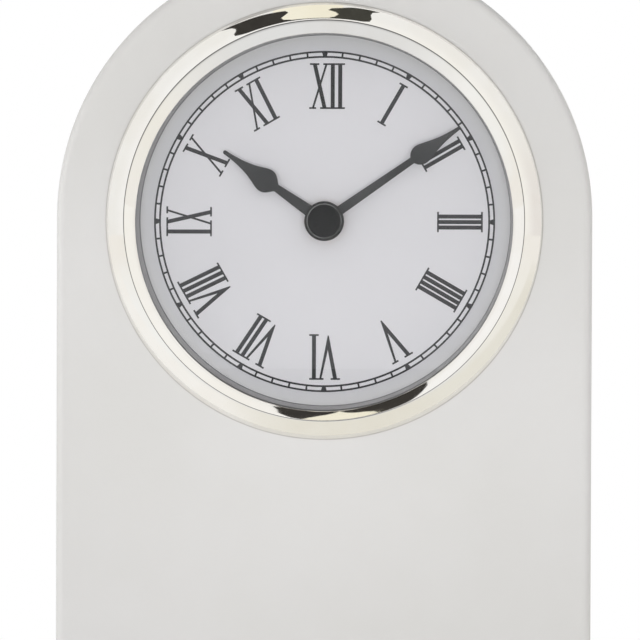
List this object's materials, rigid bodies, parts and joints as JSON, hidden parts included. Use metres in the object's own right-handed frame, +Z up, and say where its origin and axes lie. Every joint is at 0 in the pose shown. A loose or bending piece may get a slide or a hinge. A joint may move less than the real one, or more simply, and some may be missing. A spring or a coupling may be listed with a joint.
{
  "type": "pendulette clock",
  "caption": "Arched white mantel clock with a polished round bezel, silver Roman dial, pear-shaped hands and a battery quartz movement.",
  "frame": {"origin": "on the table, under the middle of the clock's box", "axes": "+Z up, the dial faces -Y, +X to the right of someone reading the dial"},
  "size_m": [0.145, 0.0502, 0.2],
  "materials": {
    "white_lacquer": "smooth satin white lacquer over wood fibreboard, with faint unevenness",
    "raw_board": "sawn softwood, unfinished",
    "panel_paint": "thin fibreboard with a matt light grey paint",
    "felt": "pressed felt pad",
    "screw_steel": "zinc plated steel",
    "clip_steel": "plain cold rolled steel",
    "black_plastic": "fine textured black moulded plastic",
    "pan_plastic": "plain grey moulded plastic",
    "polished_nickel": "polished nickel plate with a warm cast",
    "clear_glass": "clear flat glass",
    "black_rubber": "soft black rubber",
    "ring_grey": "satin grey metallic paint on aluminium",
    "dial_silver": "matt silver, very fine grain",
    "dial_ink": "printed near-black ink",
    "hand_black": "dark grey lacquer on stamped aluminium",
    "brass": "turned brass",
    "wheel_plastic": "natural white acetal",
    "magnet": "sintered magnet, dark grey",
    "soft_iron": "annealed iron sheet",
    "copper": "enamelled copper wire",
    "board_green": "green solder resist on laminate",
    "resin_black": "drop of black resin",
    "can_metal": "drawn metal can",
    "contact_nickel": "nickel plated spring strip",
    "cell_jacket": "plain printed jacket of a cell, no lettering"
  },
  "bodies": {
    "clock_case": {"front_board": "white_lacquer", "arch_rim": "white_lacquer", "base_board": "white_lacquer", "glue_blocks": "raw_board", "back_panel": "panel_paint", "back_panel_screws": "screw_steel", "foot_pads": "felt", "bezel": "polished_nickel", "dial_glass": "clear_glass", "glass_gasket": "black_rubber", "sight_ring": "ring_grey", "dial_plate": "dial_silver", "minute_track": "dial_ink", "roman_numerals": "dial_ink", "dial_pan": "pan_plastic", "pan_clips": "clip_steel", "pan_clip_screws": "screw_steel", "centre_bush": "brass", "centre_nut": "brass", "dial_washer": "brass", "rubber_washer": "black_rubber", "movement_housing": "black_plastic", "movement_cover": "black_plastic", "middle_plate": "pan_plastic", "stator": "soft_iron", "coil_core": "soft_iron", "coil_bobbin": "black_plastic", "coil_winding": "copper", "circuit_board": "board_green", "control_chip": "resin_black", "quartz_crystal": "can_metal", "contact_positive": "contact_nickel", "contact_negative": "contact_nickel"},
    "minute_works": {"minute_hand": "hand_black", "minute_collet": "brass", "hand_cap": "hand_black", "centre_wheel": "wheel_plastic"},
    "hour_works": {"hour_hand": "hand_black", "hour_collet": "brass", "hour_wheel": "wheel_plastic"},
    "setting_works": {"reduction_wheel": "wheel_plastic", "set_knob": "black_plastic"},
    "third_works": {"third_wheel": "wheel_plastic"},
    "fourth_works": {"fourth_wheel": "wheel_plastic"},
    "intermediate_works": {"intermediate_wheel": "wheel_plastic"},
    "rotor_works": {"rotor": "wheel_plastic", "rotor_magnet": "magnet"},
    "hatch": {"battery_hatch": "black_plastic"},
    "cell": {"battery": "cell_jacket"}
  },
  "joints": [
    {"name": "minute_hand_turn", "type": "hinge", "parent": "clock_case", "child": "minute_works", "pos_m": [0, 0, 0.1265], "axis": [0, 1, 0], "continuous": true},
    {"name": "hour_hand_turn", "type": "hinge", "parent": "clock_case", "child": "hour_works", "pos_m": [0, 0, 0.1265], "axis": [0, 1, 0], "continuous": true},
    {"name": "set_knob_turn", "type": "hinge", "parent": "clock_case", "child": "setting_works", "pos_m": [0.0053, 0, 0.1318], "axis": [0, 1, 0], "continuous": true},
    {"name": "third_wheel_turn", "type": "hinge", "parent": "clock_case", "child": "third_works", "pos_m": [-0.00509, 0, 0.13159], "axis": [0, 1, 0], "continuous": true},
    {"name": "fourth_wheel_turn", "type": "hinge", "parent": "clock_case", "child": "fourth_works", "pos_m": [0, 0, 0.1265], "axis": [0, 1, 0], "continuous": true},
    {"name": "intermediate_wheel_turn", "type": "hinge", "parent": "clock_case", "child": "intermediate_works", "pos_m": [0.0052, 0, 0.1235], "axis": [0, 1, 0], "continuous": true},
    {"name": "rotor_turn", "type": "hinge", "parent": "clock_case", "child": "rotor_works", "pos_m": [0.01061, 0, 0.12495], "axis": [0, 1, 0], "continuous": true},
    {"name": "hatch_pull", "type": "slide", "parent": "clock_case", "child": "hatch", "axis": [0, 1, 0], "range_m": [0, 0.04]},
    {"name": "battery_lift", "type": "slide", "parent": "clock_case", "child": "cell", "axis": [0, 1, 0], "range_m": [0, 0.0165]}
  ],
  "couplings": [
    {"joint": "hour_hand_turn", "follows": "minute_hand_turn", "ratio": 0.083333},
    {"joint": "set_knob_turn", "follows": "minute_hand_turn", "ratio": -0.33333},
    {"joint": "third_wheel_turn", "follows": "minute_hand_turn", "ratio": -7.5},
    {"joint": "fourth_wheel_turn", "follows": "minute_hand_turn", "ratio": 60},
    {"joint": "intermediate_wheel_turn", "follows": "minute_hand_turn", "ratio": -300},
    {"joint": "rotor_turn", "follows": "minute_hand_turn", "ratio": 1800}
  ]
}
